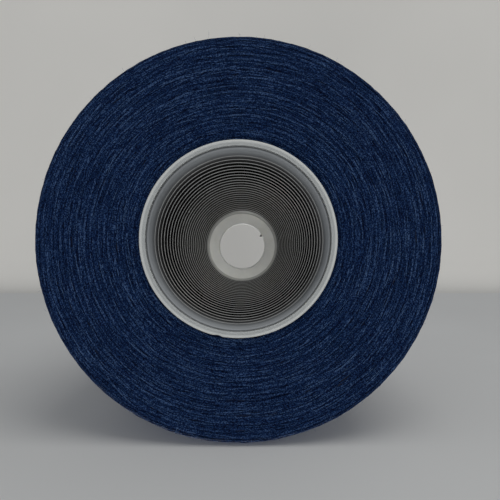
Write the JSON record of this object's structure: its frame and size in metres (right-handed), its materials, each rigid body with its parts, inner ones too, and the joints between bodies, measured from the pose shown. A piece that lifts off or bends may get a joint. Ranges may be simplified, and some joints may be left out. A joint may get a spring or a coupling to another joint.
{
  "type": "cone of sewing thread",
  "caption": "Navy sewing thread wound on a hollow tapered plastic cone, which stands on its base rim or drops over a thread stand's spindle.",
  "frame": {"origin": "centre of the cone's base rim, in the plane of its underside", "axes": "+Z along the cone's axis from the base towards the nose; +X and +Y are free, except that the thread's end crosses the base edge 27 degrees from +X towards -Y"},
  "size_m": [0.1151, 0.115, 0.1075],
  "materials": {
    "cone_plastic": "satin",
    "thread": "matte"
  },
  "bodies": {
    "root": {"cone_tube": "cone_plastic", "thread_package": "thread", "thread_end": "thread"}
  },
  "joints": []
}
